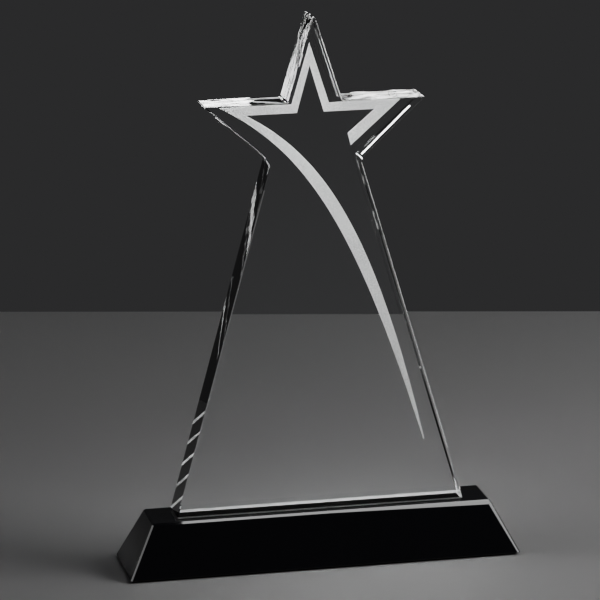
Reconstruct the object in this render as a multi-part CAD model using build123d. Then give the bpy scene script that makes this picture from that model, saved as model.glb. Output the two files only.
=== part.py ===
from build123d import *
import os

# Crystal star award: a clear crystal plate glued upright on a black crystal base.
# Millimetres, +Z up. The origin is on the table, under the middle of the base. The plate's plain
# face looks toward -Y and the face with the sandblasted design toward +Y.

# ---- Driving dimensions ----
# Bumpers under the base
foot_diameter = 8.0
foot_height = 1.0
foot_round = 0.3
foot_inset = 9.0

# Black base block: a low frustum
base_length = 191.0
base_depth = 45.6
base_top_length = 165.4
base_top_depth = 26.4
base_height = 25.0
base_arris = 0.7
base_foot_arris = 0.3

# The front top edge is eased a little further down the front than back across the top
front_arris_down = 0.95
front_arris_back = 0.75

# Flats ground by hand on the front: one that widens along the top edge to its right end, and one
# down the right corner. Widths are on the front face, from the edge before it is eased.
top_flat_start = 4.0
top_flat_width = 2.2
corner_flat_top = 1.9
corner_flat_bottom = 1.35
flat_overlap = 0.35

# Adhesive film
bond_thickness = 0.15
bond_margin = 0.1

# Crystal plate, heights measured from its own bottom edge
plate_thickness = 19.0
plate_width = 141.0
plate_height = 241.3
shoulder_height = 199.4
arm_reach = 53.5
armpit = (21.7, 170.8)
spike_root = 13.1
armpit_radius = 3.2
spike_root_radius = 1.2
spike_tip_radius = 0.8
arm_tip_radius = 0.5
plate_arris = 0.45
plate_foot_arris = 1.1

# Sandblasted design: a star outline whose left arm runs out into a long tapering tail
etch_depth = 0.25
etch_tip = 225.5
etch_inner_tip = 214.7
etch_shoulder = 196.4
etch_inner_shoulder = 192.1
etch_root = 9.0
etch_inner_root = 6.5
etch_arm = 43.8
etch_corner = 31.1
arm_cut_top = (17.9, 181.2)
arm_cut_low = (19.3, 175.2)
tail_upper = [(7.6, 170.6), (30.7, 130.6), (53.9, 28.4)]
tail_lower = [(21.0, 136.5), (-2.4, 173.9)]
tail_end = (53.4, 28.0)

base_bottom_z = foot_height
base_top_z = base_bottom_z + base_height
plate_z = base_top_z + bond_thickness


# ---- Sub-parts ----
def mirrored(points):
    """The points, then their mirror images across X = 0 in reverse order."""
    return points + [(-x, z) for x, z in reversed(points) if x > 0]


def upright(sketch, y):
    """A flat XY outline stood up in the XZ plane at the given Y, with its own Y as height."""
    return Plane(origin=(0, y, plate_z), x_dir=(1, 0, 0), z_dir=(0, -1, 0)) * sketch


def corners(sketch, place):
    """The sketch's corners nearest the given place and its mirror image."""
    x, z = place
    sides = [1, -1] if x else [1]
    return [min(sketch.vertices(), key=lambda v: abs(v.X - side * x) + abs(v.Y - z)) for side in sides]


def grind(solid, place, outward):
    """The solid with what lies beyond the plane through the place ground off."""
    return split(solid, Plane(origin=place, z_dir=outward), keep=Keep.BOTTOM)


def leg_normal(side):
    """The outward direction square to the side of a leg; side is -1 for left, 1 for right."""
    rise, run = armpit[1], plate_width / 2 - armpit[0]
    return Vector(side * rise, 0, run).normalized()


def plate_outline():
    """A star on two legs that flare straight down, with its corners eased by the grinding wheel."""
    half = [
        (0, plate_height),
        (spike_root, shoulder_height),
        (arm_reach, shoulder_height),
        armpit,
        (plate_width / 2, 0),
    ]
    outline = make_face(Polyline(*mirrored(half), close=True))
    radii = [spike_tip_radius, spike_root_radius, arm_tip_radius, armpit_radius]
    for place, radius in zip(half, radii):
        outline = fillet(corners(outline, place), radius)
    return outline


def design_outline():
    """The star outline and its tail, as one closed shape."""
    tail_start = (-etch_corner, etch_inner_shoulder)
    arm_tip = (-etch_arm, etch_shoulder)
    upper_edge = Bezier(tail_start, *tail_upper)
    blunt_end = Line(tail_upper[-1], tail_end)
    lower_edge = Bezier(tail_end, *tail_lower, arm_tip)
    star = Polyline(
        arm_tip,
        (-etch_root, etch_shoulder),
        (0, etch_tip),
        (etch_root, etch_shoulder),
        (etch_arm, etch_shoulder),
        arm_cut_low,
        arm_cut_top,
        (etch_corner, etch_inner_shoulder),
        (etch_inner_root, etch_inner_shoulder),
        (0, etch_inner_tip),
        (-etch_inner_root, etch_inner_shoulder),
        tail_start,
    )
    return make_face([*star.edges(), upper_edge, blunt_end, lower_edge])


def star_plate():
    """The crystal plate, with small arrises round both faces, larger ones round its foot, and the
    design cut into the back."""
    plate = extrude(upright(plate_outline(), plate_thickness / 2), plate_thickness)
    by_depth = plate.faces().sort_by(Axis.Y)
    rims = by_depth[0].edges() + by_depth[-1].edges()
    plate = chamfer(rims, plate_arris)
    for side in (-1, 1):
        leg = Vector(side * (plate_width / 2 - plate_foot_arris), 0, plate_z)
        plate = grind(plate, leg, leg_normal(side) - Vector(0, 0, 1))
        face = Vector(0, side * (plate_thickness / 2 - plate_foot_arris), plate_z)
        plate = grind(plate, face, Vector(0, side, -1))
    cutter = extrude(upright(design_outline(), plate_thickness / 2), etch_depth)
    return plate - cutter


def bond_layer():
    """The film of clear adhesive between the plate's flat bottom, inside its arrises, and the base."""
    edge = plate_foot_arris + bond_margin
    film = Box(
        plate_width - 2 * edge,
        plate_thickness - 2 * edge,
        bond_thickness,
        align=(Align.CENTER, Align.CENTER, Align.MIN),
    )
    return Pos(0, 0, base_top_z) * film


def top_corner(side):
    """The front corner of the base's top before it is eased; side is -1 for left, 1 for right."""
    return Vector(side * base_top_length / 2, -base_top_depth / 2, base_top_z)


def bottom_corner(side):
    """The front corner of the base's underside before it is eased."""
    return Vector(side * base_length / 2, -base_depth / 2, base_bottom_z)


def front_flat(block, first, second, third):
    """The block with a flat ground on its front, through three points."""
    across = (second - first).cross(third - first)
    return grind(block, first, across if across.Y < 0 else across * -1)


def grind_front_edge(block):
    """The front top edge eased from end to end, then a flat along it, from nothing at its start to
    full width at the right end."""
    edge = top_corner(1)
    down = (bottom_corner(0) - top_corner(0)).normalized()
    eased_low = edge + down * front_arris_down
    eased_high = edge + Vector(0, front_arris_back, 0)
    block = front_flat(block, eased_low - Vector(edge.X, 0, 0), eased_low, eased_high)
    start = eased_low + Vector(top_flat_start - edge.X, 0, 0)
    third = eased_low + (eased_high - eased_low) * flat_overlap
    return front_flat(block, start, edge + down * top_flat_width, third)


def grind_corner_flat(block):
    """A flat down the right front corner, a little wider at the top."""
    top, bottom = top_corner(1), bottom_corner(1)
    inner_top = top - Vector(corner_flat_top, 0, 0)
    inner_bottom = bottom - Vector(corner_flat_bottom, 0, 0)
    eased = Vector((flat_overlap - 1) * base_arris, flat_overlap * base_arris, 0)
    return front_flat(block, inner_top, inner_bottom, bottom + eased)


def base_block():
    """A black block whose four sides slope in to the top, with eased edges and two ground flats."""
    bottom = Pos(0, 0, base_bottom_z) * Rectangle(base_length, base_depth)
    top = Pos(0, 0, base_top_z) * Rectangle(base_top_length, base_top_depth)
    block = loft([bottom, top])
    shown_edges = [edge for edge in block.edges() if edge.center().Z > base_bottom_z]
    block = chamfer(shown_edges, base_arris)
    block = grind_corner_flat(grind_front_edge(block))
    underside = block.faces().sort_by(Axis.Z)[0]
    return chamfer(underside.edges(), base_foot_arris)


def foot(x, y):
    """A self-adhesive bumper: a short round pad with an eased lower rim."""
    pad = Cylinder(foot_diameter / 2, foot_height, align=(Align.CENTER, Align.CENTER, Align.MIN))
    rim = pad.edges().sort_by(Axis.Z)[0]
    return Pos(x, y, 0) * chamfer(rim, foot_round)


# ---- Assembly ----
os.makedirs("parts", exist_ok=True)
export_step(star_plate(), "parts/star_plate.step")
export_step(bond_layer(), "parts/bond_layer.step")
export_step(base_block(), "parts/base_block.step")
foot_x = base_length / 2 - foot_inset
foot_y = base_depth / 2 - foot_inset
for end, x in (("left", -foot_x), ("right", foot_x)):
    for row, y in (("front", -foot_y), ("rear", foot_y)):
        export_step(foot(x, y), f"parts/foot_{row}_{end}.step")
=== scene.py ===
import math

import bmesh
import bpy
from mathutils import Matrix, Vector


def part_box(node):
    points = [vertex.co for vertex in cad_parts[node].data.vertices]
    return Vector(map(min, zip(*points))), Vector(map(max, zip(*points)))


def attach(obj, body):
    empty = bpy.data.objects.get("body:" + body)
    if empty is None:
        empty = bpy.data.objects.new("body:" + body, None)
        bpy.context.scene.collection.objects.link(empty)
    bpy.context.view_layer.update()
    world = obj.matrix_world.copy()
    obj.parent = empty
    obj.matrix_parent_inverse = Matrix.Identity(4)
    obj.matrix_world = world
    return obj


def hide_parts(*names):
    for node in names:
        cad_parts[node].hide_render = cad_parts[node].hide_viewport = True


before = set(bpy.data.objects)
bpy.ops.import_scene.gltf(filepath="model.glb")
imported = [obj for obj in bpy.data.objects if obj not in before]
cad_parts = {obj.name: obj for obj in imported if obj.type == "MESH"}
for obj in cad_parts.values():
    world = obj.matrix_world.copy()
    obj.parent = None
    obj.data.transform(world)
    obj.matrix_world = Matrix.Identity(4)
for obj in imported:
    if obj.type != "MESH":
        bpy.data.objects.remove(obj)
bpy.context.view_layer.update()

# Metres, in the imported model's frame: +Z up, the plate's plain face toward -Y.
MM = 0.001

# ---- Places and sizes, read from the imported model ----
plate_low, plate_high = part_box("star_plate")
base_low, base_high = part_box("base_block")

# ---- The plate's outline, from its bottom edge, in millimetres ----
PLATE_HEIGHT = 241.3
SHOULDER_HEIGHT = 199.4
ARM_REACH = 53.5
ARMPIT = (21.7, 170.8)
SPIKE_ROOT = 13.1
ARMPIT_RADIUS = 3.2
SPIKE_ROOT_RADIUS = 1.2
SPIKE_TIP_RADIUS = 0.8
ARM_TIP_RADIUS = 0.5
PLATE_ARRIS = 0.45
FOOT_ARRIS = 1.1
PLATE_WIDTH = 141.0

# ---- The sandblasted design on the back face ----
ETCH_DEPTH = 0.25
ETCH_TIP = 225.5
ETCH_INNER_TIP = 214.7
ETCH_SHOULDER = 196.4
ETCH_INNER_SHOULDER = 192.1
ETCH_ROOT = 9.0
ETCH_INNER_ROOT = 6.5
ETCH_ARM = 43.8
ETCH_CORNER = 31.1
ARM_CUT_TOP = (17.9, 181.2)
ARM_CUT_LOW = (19.3, 175.2)
TAIL_UPPER = [(7.6, 170.6), (30.7, 130.6), (53.9, 28.4)]
TAIL_LOWER = [(21.0, 136.5), (-2.4, 173.9)]
TAIL_END = (53.4, 28.0)
TAIL_STEPS = 48


# ---- Node helpers ----
def new_material(name):
    """A material with an empty node tree and its output node."""
    material = bpy.data.materials.new(name)
    material.use_nodes = True
    tree = material.node_tree
    tree.nodes.clear()
    output = tree.nodes.new("ShaderNodeOutputMaterial")
    return material, tree, output


def add(tree, kind, **settings):
    """A node of that kind, with its properties and unlinked inputs set by name."""
    node = tree.nodes.new(kind)
    for key, value in settings.items():
        if key in node.inputs:
            node.inputs[key].default_value = value
        else:
            setattr(node, key, value)
    return node


def principled(tree, values):
    """A Principled shader with the given input values."""
    shader = tree.nodes.new("ShaderNodeBsdfPrincipled")
    for key, value in values.items():
        shader.inputs[key].default_value = value
    return shader


def object_noise(tree, scale, detail, roughness=0.5):
    """Noise in the object's own coordinates; scale is in features per metre."""
    coords = tree.nodes.new("ShaderNodeTexCoord")
    noise = add(tree, "ShaderNodeTexNoise", Scale=scale, Detail=detail, Roughness=roughness)
    tree.links.new(coords.outputs["Object"], noise.inputs["Vector"])
    return noise


def bump(tree, height, strength, distance, shader):
    """Feeds the shader a normal bumped by the height; distance is in metres."""
    node = add(tree, "ShaderNodeBump", Strength=strength, Distance=distance)
    tree.links.new(height, node.inputs["Height"])
    tree.links.new(node.outputs["Normal"], shader.inputs["Normal"])


def ramp(tree, source, low, high, at=(0.0, 1.0)):
    """A two-colour ramp over the source's values between the two given by at."""
    node = tree.nodes.new("ShaderNodeValToRGB")
    for element, position, colour in zip(node.color_ramp.elements, at, (low, high)):
        element.position = position
        element.color = colour
    tree.links.new(source, node.inputs["Fac"])
    return node


# ---- Materials ----
CRYSTAL_IOR = 1.52
LEG_FLAT_TO, STAR_WAVY_FROM = 0.080, 0.190  # heights up the plate, in metres
LEG_WAVES, STAR_WAVES = 0.00001, 0.00034  # heights of the sides' waves, in metres
WAVES_PER_METRE = 45.0
WAVE_SQUEEZE = (1.0, 4.0, 1.0)  # the waves are four times finer through the plate's thickness
PLATE_RIPPLE, BASE_RIPPLE = 0.000002, 0.000003  # heights of the flat faces' ripple, in metres
FROST_GRAIN, GROUND_GRAIN = 1600.0, 1800.0  # grains per metre
FROST_GLOW, GROUND_GLOW = 0.25, 0.05  # shares of light that pass through


def crystal_shader(tree):
    """Clear polished crystal."""
    return principled(tree, {
        "Base Color": (0.985, 0.992, 0.992, 1.0),
        "Roughness": 0.0,
        "IOR": CRYSTAL_IOR,
        "Transmission Weight": 1.0,
    })


def crystal_material():
    """The plate's flat faces and arrises: clear, with the faintest ripple."""
    material, tree, output = new_material("clear_crystal")
    shader = crystal_shader(tree)
    ripple = object_noise(tree, 60.0, 1.0)
    bump(tree, ripple.outputs["Fac"], 1.0, PLATE_RIPPLE, shader)
    tree.links.new(shader.outputs["BSDF"], output.inputs["Surface"])
    return material


def polished_side_material():
    """The sides that face up or left: polished flat down the leg, and wavy by hand round the star."""
    material, tree, output = new_material("polished_sides")
    shader = crystal_shader(tree)
    coords = tree.nodes.new("ShaderNodeTexCoord")
    along = add(tree, "ShaderNodeMapping", Scale=WAVE_SQUEEZE)
    tree.links.new(coords.outputs["Object"], along.inputs["Vector"])
    waves = add(tree, "ShaderNodeTexNoise", Scale=WAVES_PER_METRE, Detail=2.0)
    tree.links.new(along.outputs["Vector"], waves.inputs["Vector"])
    place = tree.nodes.new("ShaderNodeSeparateXYZ")
    tree.links.new(coords.outputs["Object"], place.inputs["Vector"])
    by_hand = tree.nodes.new("ShaderNodeMapRange")
    by_hand.inputs["From Min"].default_value = plate_low.z + LEG_FLAT_TO
    by_hand.inputs["From Max"].default_value = plate_low.z + STAR_WAVY_FROM
    by_hand.inputs["To Min"].default_value = LEG_WAVES
    by_hand.inputs["To Max"].default_value = STAR_WAVES
    tree.links.new(place.outputs["Z"], by_hand.inputs["Value"])
    height = add(tree, "ShaderNodeMath", operation="MULTIPLY")
    tree.links.new(waves.outputs["Fac"], height.inputs[0])
    tree.links.new(by_hand.outputs["Result"], height.inputs[1])
    bump(tree, height.outputs["Value"], 1.0, 1.0, shader)
    tree.links.new(shader.outputs["BSDF"], output.inputs["Surface"])
    return material


def matt_crystal(name, grain_scale, tones, at, roughness, glow_share):
    """Matt crystal: a fine grain that scatters light back, and passes a share of it through.
    Returns the material, its tree, the grain and the shader of the scattered part."""
    material, tree, output = new_material(name)
    grain = object_noise(tree, grain_scale, 3.0, 0.7)
    tone = ramp(tree, grain.outputs["Fac"], *tones, at)
    body = principled(tree, {"Roughness": roughness, "IOR": CRYSTAL_IOR})
    tree.links.new(tone.outputs["Color"], body.inputs["Base Color"])
    glow = tree.nodes.new("ShaderNodeBsdfTranslucent")
    tree.links.new(tone.outputs["Color"], glow.inputs["Color"])
    mix = add(tree, "ShaderNodeMixShader", Fac=glow_share)
    tree.links.new(body.outputs["BSDF"], mix.inputs[1])
    tree.links.new(glow.outputs["BSDF"], mix.inputs[2])
    tree.links.new(mix.outputs["Shader"], output.inputs["Surface"])
    return material, tree, grain, body


def frost_material():
    """Sandblasted crystal: a fine white frost that glows in light from either side."""
    tones = (0.66, 0.67, 0.67, 1), (0.98, 0.98, 0.98, 1)
    material, tree, grain, body = matt_crystal(
        "frosted_crystal", FROST_GRAIN, tones, at=(0.38, 0.62), roughness=0.75, glow_share=FROST_GLOW
    )
    bump(tree, grain.outputs["Fac"], 0.4, 0.00008, body)
    return material


def ground_crystal_material():
    """Crystal left matt by the grinding wheel, seen as a bright white line."""
    tones = (0.85, 0.86, 0.86, 1), (1.0, 1.0, 1.0, 1)
    material, *_ = matt_crystal(
        "ground_crystal", GROUND_GRAIN, tones, at=(0.35, 0.65), roughness=0.6, glow_share=GROUND_GLOW
    )
    return material


def bonded_material():
    """The plate's underside where the adhesive joins it to the black base: it only shows black."""
    material, tree, output = new_material("bonded_foot")
    streaks = object_noise(tree, 90.0, 3.0)
    tone = ramp(tree, streaks.outputs["Fac"], (0.002, 0.002, 0.002, 1), (0.006, 0.006, 0.007, 1))
    shader = principled(tree, {"Roughness": 0.5, "IOR": 1.1})
    tree.links.new(tone.outputs["Color"], shader.inputs["Base Color"])
    tree.links.new(shader.outputs["BSDF"], output.inputs["Surface"])
    return material


def black_crystal_material():
    """Opaque black crystal, polished flat."""
    material, tree, output = new_material("black_crystal")
    shader = principled(tree, {
        "Base Color": (0.0015, 0.0015, 0.002, 1.0),
        "Roughness": 0.02,
        "IOR": CRYSTAL_IOR,
    })
    ripple = object_noise(tree, 45.0, 1.0)
    bump(tree, ripple.outputs["Fac"], 1.0, BASE_RIPPLE, shader)
    tree.links.new(shader.outputs["BSDF"], output.inputs["Surface"])
    return material


def adhesive_material():
    """The clear adhesive, which only shows the black base under it."""
    material, tree, output = new_material("clear_adhesive")
    shader = principled(tree, {
        "Base Color": (0.02, 0.02, 0.022, 1.0),
        "Roughness": 0.12,
        "IOR": 1.5,
    })
    streaks = object_noise(tree, 120.0, 3.0)
    bump(tree, streaks.outputs["Fac"], 0.2, 0.0002, shader)
    tree.links.new(shader.outputs["BSDF"], output.inputs["Surface"])
    return material


def rubber_material():
    """Soft black bumper rubber."""
    material, tree, output = new_material("bumper_rubber")
    grain = object_noise(tree, 900.0, 3.0)
    tone = ramp(tree, grain.outputs["Fac"], (0.018, 0.018, 0.018, 1), (0.035, 0.035, 0.035, 1))
    shader = principled(tree, {"Roughness": 0.6, "IOR": 1.5})
    tree.links.new(tone.outputs["Color"], shader.inputs["Base Color"])
    bump(tree, grain.outputs["Fac"], 0.15, 0.0001, shader)
    tree.links.new(shader.outputs["BSDF"], output.inputs["Surface"])
    return material


def floor_material():
    """A plain pale grey."""
    material, tree, output = new_material("studio_floor")
    grey = (0.62, 0.62, 0.62, 1.0)
    shader = principled(tree, {"Base Color": grey, "Roughness": 0.5, "IOR": 1.45})
    tree.links.new(shader.outputs["BSDF"], output.inputs["Surface"])
    return material


# ---- Outline helpers, in millimetres ----
CORNER_STEPS = 10
MITRE_LIMIT = 0.2  # a sharp corner's mitre is no longer than five times the inset


def mirrored(points):
    """The points, then their mirror images across x = 0 in reverse order."""
    return points + [(-x, z, r) for x, z, r in reversed(points) if x > 0]


def rounded(corners):
    """A closed outline through (x, z, radius) corners, each eased by an arc of its radius."""
    outline = []
    for k, (x, z, radius) in enumerate(corners):
        here = Vector((x, z))
        if radius <= 0:
            outline.append(here)
            continue
        before = Vector(corners[k - 1][:2]) - here
        after = Vector(corners[(k + 1) % len(corners)][:2]) - here
        half_angle = before.angle(after) / 2
        reach = radius / math.tan(half_angle)
        start = here + before.normalized() * reach
        end = here + after.normalized() * reach
        bisector = (before.normalized() + after.normalized()).normalized()
        middle = here + bisector * radius / math.sin(half_angle)
        sweep = (start - middle).angle_signed(end - middle)
        for step in range(CORNER_STEPS + 1):
            arm = (start - middle).copy()
            arm.rotate(Matrix.Rotation(-sweep * step / CORNER_STEPS, 2))
            outline.append(middle + arm)
    return outline


def bezier(p0, p1, p2, p3, steps):
    """Points along a cubic Bezier curve, without its last one."""
    points = []
    for k in range(steps):
        t = k / steps
        s = 1 - t
        points.append(Vector([
            s**3 * a + 3 * s * s * t * b + 3 * s * t * t * c + t**3 * d
            for a, b, c, d in zip(p0, p1, p2, p3)
        ]))
    return points


def inset(outline, distance):
    """The closed outline moved inward (anticlockwise outlines) by the distance, corners mitred."""
    moved = []
    count = len(outline)
    for k, here in enumerate(outline):
        a = (here - outline[k - 1]).normalized()
        b = (outline[(k + 1) % count] - here).normalized()
        na, nb = Vector((-a.y, a.x)), Vector((-b.y, b.x))
        across = (na + nb).normalized()
        moved.append(here + across * distance / max(across.dot(na), MITRE_LIMIT))
    return moved


def plate_outline():
    """A star on two legs that flare straight down, anticlockwise."""
    half = [
        (0, PLATE_HEIGHT, SPIKE_TIP_RADIUS),
        (SPIKE_ROOT, SHOULDER_HEIGHT, SPIKE_ROOT_RADIUS),
        (ARM_REACH, SHOULDER_HEIGHT, ARM_TIP_RADIUS),
        (*ARMPIT, ARMPIT_RADIUS),
        (PLATE_WIDTH / 2, 0, 0),
    ]
    return rounded(mirrored(half))[::-1]


def design_outline():
    """The sandblasted star outline and its tail, anticlockwise."""
    tail_start = (-ETCH_CORNER, ETCH_INNER_SHOULDER)
    arm_tip = (-ETCH_ARM, ETCH_SHOULDER)
    star = [
        (-ETCH_ROOT, ETCH_SHOULDER),
        (0, ETCH_TIP),
        (ETCH_ROOT, ETCH_SHOULDER),
        (ETCH_ARM, ETCH_SHOULDER),
        ARM_CUT_LOW,
        ARM_CUT_TOP,
        (ETCH_CORNER, ETCH_INNER_SHOULDER),
        (ETCH_INNER_ROOT, ETCH_INNER_SHOULDER),
        (0, ETCH_INNER_TIP),
        (-ETCH_INNER_ROOT, ETCH_INNER_SHOULDER),
    ]
    upper_edge = bezier(tail_start, *TAIL_UPPER, TAIL_STEPS) + [Vector(TAIL_UPPER[-1])]
    lower_edge = bezier(TAIL_END, *TAIL_LOWER, arm_tip, TAIL_STEPS) + [Vector(arm_tip)]
    closed = [Vector(point) for point in star] + upper_edge + lower_edge
    return closed[::-1]


# ---- Mesh helpers ----
SHARP_ANGLE = math.radians(20)


def ring(bm, outline, y):
    """A loop of vertices at depth y metres; the outline is in millimetres above the plate's foot."""
    return [bm.verts.new((p.x * MM, y, plate_low.z + p.y * MM)) for p in outline]


def skirt(bm, first, second, slot):
    """Quads between two loops of equal length."""
    count = len(first)
    for k in range(count):
        face = bm.faces.new((first[k], first[(k + 1) % count], second[(k + 1) % count], second[k]))
        face.material_index = slot


def loop_edges(bm, loop):
    """The edges along a closed loop of vertices."""
    count = len(loop)
    return [bm.edges.get((loop[k], loop[(k + 1) % count])) for k in range(count)]


def fill(bm, loops, slot):
    """Triangles that fill the first loop, less the loops inside it."""
    edges = [edge for loop in loops for edge in loop_edges(bm, loop)]
    made = bmesh.ops.triangle_fill(bm, edges=edges, use_beauty=True, use_dissolve=False)
    for item in made["geom"]:
        if isinstance(item, bmesh.types.BMFace):
            item.material_index = slot


def finish_mesh(name, bm, materials):
    """An object of that name from the mesh, with smooth curves, sharp edges and flat faces."""
    bmesh.ops.recalc_face_normals(bm, faces=bm.faces)
    mesh = bpy.data.meshes.new(name)
    bm.to_mesh(mesh)
    bm.free()
    for material in materials:
        mesh.materials.append(material)
    for polygon in mesh.polygons:
        polygon.use_smooth = True
    mesh.set_sharp_from_angle(angle=SHARP_ANGLE)
    piece = bpy.data.objects.new(name, mesh)
    bpy.context.scene.collection.objects.link(piece)
    weighted = piece.modifiers.new("flat_faces_stay_flat", "WEIGHTED_NORMAL")
    weighted.mode = "FACE_AREA"
    weighted.keep_sharp = True
    return piece


# ---- Pieces ----
CLEAR, SIDE, FROST, GROUND, BONDED = range(5)  # the plate's material slots
TOUCH = 1e-6  # metres
FACES_RIGHT = 0.1  # a side whose normal leans right by more than this


def grind(bm, place, outward, slot):
    """Cuts off what lies beyond the plane through the place, and closes the cut with one face."""
    geometry = bm.verts[:] + bm.edges[:] + bm.faces[:]
    cut = bmesh.ops.bisect_plane(
        bm, geom=geometry, dist=1e-7, plane_co=place, plane_no=outward, clear_outer=True
    )
    rim = [item for item in cut["geom_cut"] if isinstance(item, bmesh.types.BMEdge)]
    for face in bmesh.ops.edgeloop_fill(bm, edges=rim)["faces"]:
        face.material_index = slot


def grind_foot(bm):
    """Larger arrises round the plate's foot, left matt from the wheel."""
    low = plate_low.z
    middle = (plate_low.y + plate_high.y) / 2
    half_depth = (plate_high.y - plate_low.y) / 2
    rise, run = ARMPIT[1], PLATE_WIDTH / 2 - ARMPIT[0]
    for side in (-1, 1):
        leg = Vector((side * rise, 0, run)).normalized()
        edge = Vector((side * (PLATE_WIDTH / 2 - FOOT_ARRIS) * MM, middle, low))
        grind(bm, edge, leg - Vector((0, 0, 1)), GROUND)
        edge = Vector((0, middle + side * (half_depth - FOOT_ARRIS * MM), low))
        grind(bm, edge, Vector((0, side, -1)), GROUND)


def crystal_plate(materials):
    """The plate: polished faces, fine arrises round both, and the frosted design sunk in the back.
    Of its sides, only those that face up or left are wavy."""
    bm = bmesh.new()
    side_outline = plate_outline()
    face_outline = inset(side_outline, PLATE_ARRIS)
    arris = PLATE_ARRIS * MM
    front = ring(bm, face_outline, plate_low.y)
    front_side = ring(bm, side_outline, plate_low.y + arris)
    back_side = ring(bm, side_outline, plate_high.y - arris)
    back = ring(bm, face_outline, plate_high.y)
    skirt(bm, front, front_side, CLEAR)
    skirt(bm, front_side, back_side, SIDE)
    skirt(bm, back_side, back, CLEAR)
    fill(bm, [front], CLEAR)

    design = design_outline()
    rim = ring(bm, design, plate_high.y)
    floor = ring(bm, inset(design, ETCH_DEPTH), plate_high.y - ETCH_DEPTH * MM)
    skirt(bm, rim, floor, GROUND)
    fill(bm, [back, rim], CLEAR)
    fill(bm, [floor], FROST)
    bmesh.ops.recalc_face_normals(bm, faces=bm.faces)
    for face in bm.faces:
        if all(vert.co.z < plate_low.z + TOUCH for vert in face.verts):
            face.material_index = BONDED
        elif face.material_index == SIDE and (face.normal.z < 0 or face.normal.x > FACES_RIGHT):
            face.material_index = CLEAR
    grind_foot(bm)
    piece = finish_mesh("crystal_star_plate", bm, materials)
    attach(piece, "root")
    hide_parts("star_plate")


def assign(node, material):
    """Gives a CAD node that is shown as it is its finished material."""
    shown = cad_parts[node]
    if not shown.material_slots:
        shown.data.materials.append(material)
    for slot in shown.material_slots:
        slot.link = "OBJECT"
        slot.material = material


# ---- Stage, lights and camera ----
FLOOR_WIDTH, FLOOR_DEPTH = 2.0, 1.8
FLOOR_BACK = 0.49  # how far its back edge is behind the award
FLOOR_TURN = math.radians(-14.7)
REAR_LIGHTS_Y = 0.80
SURROUND = (0.030, 0.030, 0.031, 1.0)


def studio_floor():
    """A pale table top, with its back edge level in the camera's view."""
    middle = Vector((0, FLOOR_BACK - FLOOR_DEPTH / 2, 0))
    middle.rotate(Matrix.Rotation(FLOOR_TURN, 3, "Z"))
    bpy.ops.mesh.primitive_plane_add(size=1.0, location=middle, rotation=(0, 0, FLOOR_TURN))
    floor = bpy.context.object
    floor.scale = (FLOOR_WIDTH, FLOOR_DEPTH, 1.0)
    floor.name = "studio_floor"
    floor.data.materials.append(floor_material())


def softbox(name, place, target, size, radiance, only_on=None, tilt=0.0, spread=math.pi):
    """A rectangular softbox of the given brightness, unseen by the camera except as it is reflected.
    With only_on, it lights that collection alone, as if flagged off the rest. Tilt turns it about
    its own axis, and a spread under a half turn is a grid's."""
    light = bpy.data.lights.new(name, "AREA")
    light.shape = "RECTANGLE"
    light.size, light.size_y = size
    light.energy = radiance * math.pi * size[0] * size[1]
    light.spread = spread
    lamp = bpy.data.objects.new(name, light)
    lamp.location = place
    facing = (Vector(target) - Vector(place)).to_track_quat("-Z", "Y").to_matrix()
    lamp.rotation_euler = (facing @ Matrix.Rotation(tilt, 3, "Z")).to_euler()
    lamp.visible_camera = False
    bpy.context.scene.collection.objects.link(lamp)
    if only_on:
        lamp.light_linking.receiver_collection = only_on


def light_group(name, pieces):
    """A collection of those pieces, for lights that are flagged off everything else."""
    group = bpy.data.collections.new(name)
    for piece in pieces:
        group.objects.link(piece)
    return group


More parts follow.
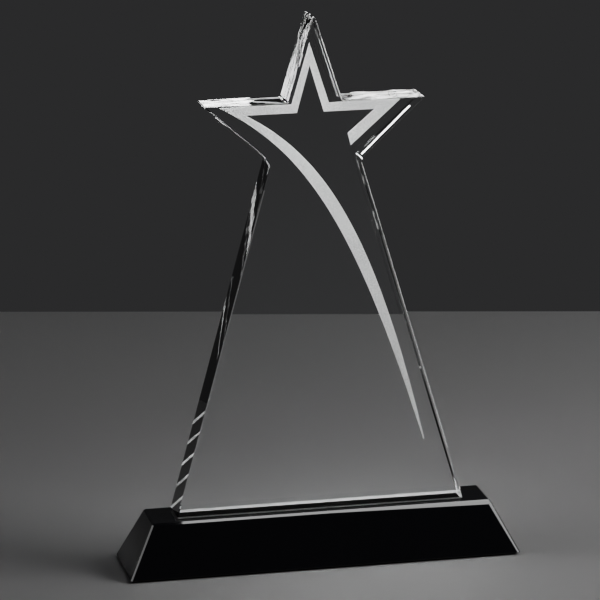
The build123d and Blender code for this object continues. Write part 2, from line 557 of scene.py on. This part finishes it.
def studio_lights():
    """Softboxes round the award in a dark room: one for the floor, three from above for the base's
    edges, the star's arrises and the frost, one for each side, a tube for the right leg, and narrow
    ones behind the award that the star's tops and undersides reflect."""
    meshes = [piece for piece in bpy.context.scene.objects if piece.type == "MESH"]
    award = light_group("award", [piece for piece in meshes if piece.name != "studio_floor"])
    plate_only = light_group("plate_only", [bpy.data.objects["crystal_star_plate"]])
    base_only = light_group("base_only", [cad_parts["base_block"]])
    base_middle = (0, 0, base_high.z)
    star_middle = (0, 0, 0.235)
    grid = math.radians(40)
    softbox("floor_key", (0.72, -0.25, 0.62), base_middle, (0.45, 0.45), 4.0)
    softbox("front_top", (0.345, -0.329, 0.961), (0.345, 0.071, 0.057), (0.50, 1.145), 8, base_only)
    softbox("star_top", (0.41, -0.20, 1.0), (0.41, 0.0, 0.1), (0.50, 0.50), 8, plate_only)
    softbox("plate_top", (-0.12, -0.16, 0.42), star_middle, (0.18, 0.14), 32, plate_only, spread=grid)
    softbox("left_side", (-0.86, -0.04, 0.66), base_middle, (0.35, 0.30), 2.5, award)
    softbox("right_side", (0.78, -0.52, 0.60), base_middle, (0.50, 0.42), 7, award)
    for name, x, z, width, height, radiance, tilt in (
        ("rear_strip_left", 0.066, 0.395, 0.104, 0.080, 14, 0),
        ("rear_strip_right", 0.265, 0.385, 0.15, 0.036, 14, 0),
        ("rear_low", -0.245, 0.185, 0.065, 0.06, 7, 0),
        ("rear_slat_inner", -0.218, 0.240, 0.003, 0.050, 12, 0),
        ("rear_slat_outer", -0.234, 0.240, 0.003, 0.050, 12, 0),
        ("rear_tube", -0.115, 0.3965, 0.062, 0.0009, 12, -41),
    ):
        place, target = (x, REAR_LIGHTS_Y, z), (x, 0.0, z)
        softbox(name, place, target, (width, height), radiance, award, math.radians(tilt))
    softbox("right_tube", (1.0, 0.12, 0.15), (0.0, 0.0, 0.15), (0.06, 0.40), 5, award)
    world = bpy.data.worlds.new("studio")
    bpy.context.scene.world = world
    world.use_nodes = True
    surround = world.node_tree.nodes["Background"]
    surround.inputs["Color"].default_value = SURROUND
    surround.inputs["Strength"].default_value = 1.0


CAMERA_AZIMUTH = math.radians(-11.19)
CAMERA_ELEVATION = math.radians(13.78)
CAMERA_ROLL = math.radians(-0.895)
CAMERA_DISTANCE = 1.902
CAMERA_LENS = 239.3
AIM = Vector((-0.0069, 0.0, 0.128))


def studio_camera():
    """A long lens to the left of the award and above it, very slightly tilted."""
    a, e = CAMERA_AZIMUTH, CAMERA_ELEVATION
    back = Vector((math.sin(a) * math.cos(e), -math.cos(a) * math.cos(e), math.sin(e)))
    data = bpy.data.cameras.new("camera")
    data.lens = CAMERA_LENS
    data.sensor_width = 36.0
    camera = bpy.data.objects.new("camera", data)
    bpy.context.scene.collection.objects.link(camera)
    camera.location = AIM + back * CAMERA_DISTANCE
    level = (-back).to_track_quat("-Z", "Y").to_matrix()
    camera.rotation_euler = (level @ Matrix.Rotation(CAMERA_ROLL, 3, "Z")).to_euler()
    bpy.context.scene.camera = camera


# ---- Assembly ----
crystal_plate([
    crystal_material(),
    polished_side_material(),
    frost_material(),
    ground_crystal_material(),
    bonded_material(),
])
assign("bond_layer", adhesive_material())
assign("base_block", black_crystal_material())
rubber = rubber_material()
for node in ("foot_front_left", "foot_front_right", "foot_rear_left", "foot_rear_right"):
    assign(node, rubber)
studio_floor()
studio_lights()
studio_camera()
